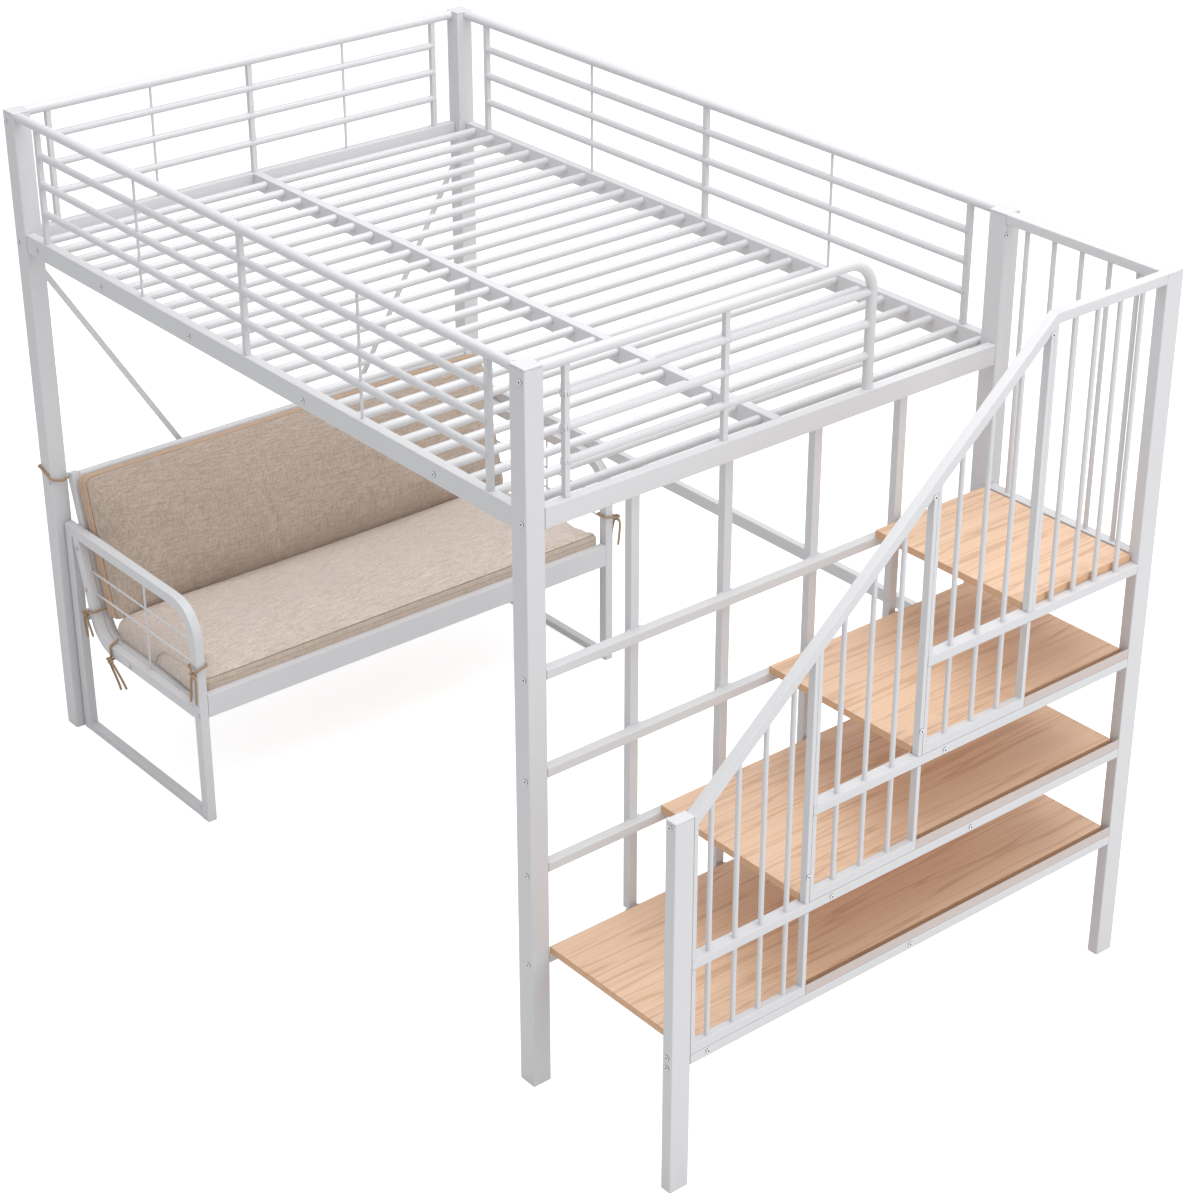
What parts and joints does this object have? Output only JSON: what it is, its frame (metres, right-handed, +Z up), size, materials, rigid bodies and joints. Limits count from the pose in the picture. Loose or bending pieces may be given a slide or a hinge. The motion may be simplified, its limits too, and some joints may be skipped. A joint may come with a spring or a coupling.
{
  "type": "loft bed with sofa and stair",
  "caption": "White steel loft bed with a slatted deck over a tie-on cushioned sofa, guard bars round the deck and a board-tread stair with balusters at one end.",
  "frame": {"origin": "on the floor, in the middle of the outline of the steel frame", "axes": "+X along the bed towards the stair, +Y across it away from the sofa's near arm, +Z up; the sofa faces +X"},
  "size_m": [2.5894, 1.4458, 1.777],
  "materials": {
    "frame_paint": "satin white powder coat",
    "stair_paint": "satin white powder coat",
    "sofa_paint": "satin white powder coat",
    "tread_wood": "light reddish board with a lengthwise grain, satin",
    "seat_linen": "light beige linen weave",
    "back_linen": "greyish brown linen weave",
    "tie_cord": "matt twisted cord"
  },
  "bodies": {
    "root": {"post_a": "frame_paint", "post_b": "frame_paint", "post_c": "frame_paint", "post_d": "frame_paint", "deck_rail_near": "frame_paint", "deck_rail_far": "frame_paint", "deck_centre_beam": "frame_paint", "deck_beam_back": "frame_paint", "deck_beam_stair": "frame_paint", "guard_near": "frame_paint", "guard_far": "frame_paint", "guard_back": "frame_paint", "guard_entry": "frame_paint", "bed_end_grid": "frame_paint", "side_rail_far": "frame_paint", "back_cross_rail": "frame_paint", "brace_near": "frame_paint", "brace_far": "frame_paint", "stair_post_near": "stair_paint", "stair_post_far": "stair_paint", "tread_rail_1": "stair_paint", "tread_rail_2": "stair_paint", "tread_rail_3": "stair_paint", "tread_rail_4": "stair_paint", "stair_panel_1": "stair_paint", "stair_panel_2": "stair_paint", "stair_panel_3": "stair_paint", "stair_handrail": "stair_paint", "landing_guard": "stair_paint", "tread_1": "tread_wood", "tread_2": "tread_wood", "tread_3": "tread_wood", "tread_4": "tread_wood", "sofa_arm_near": "sofa_paint", "sofa_arm_far": "sofa_paint", "seat_tube_near": "sofa_paint", "seat_tube_far": "sofa_paint", "sofa_head_rail": "sofa_paint", "sofa_front_rail": "sofa_paint", "seat_bar_1": "sofa_paint", "seat_bar_2": "sofa_paint", "seat_bar_3": "sofa_paint", "back_bar_1": "sofa_paint", "back_bar_2": "sofa_paint", "seat_cushion": "seat_linen", "back_cushion": "back_linen", "tie_post_near": "tie_cord", "tie_post_far": "tie_cord", "tie_back_near": "tie_cord", "tie_back_far": "tie_cord", "tie_back_tails_near": "tie_cord", "tie_back_tails_far": "tie_cord", "tie_seat_near": "tie_cord", "tie_seat_far": "tie_cord", "tie_seat_tails_near": "tie_cord", "tie_seat_tails_far": "tie_cord", "tie_front_near": "tie_cord", "tie_front_far": "tie_cord"}
  },
  "joints": []
}
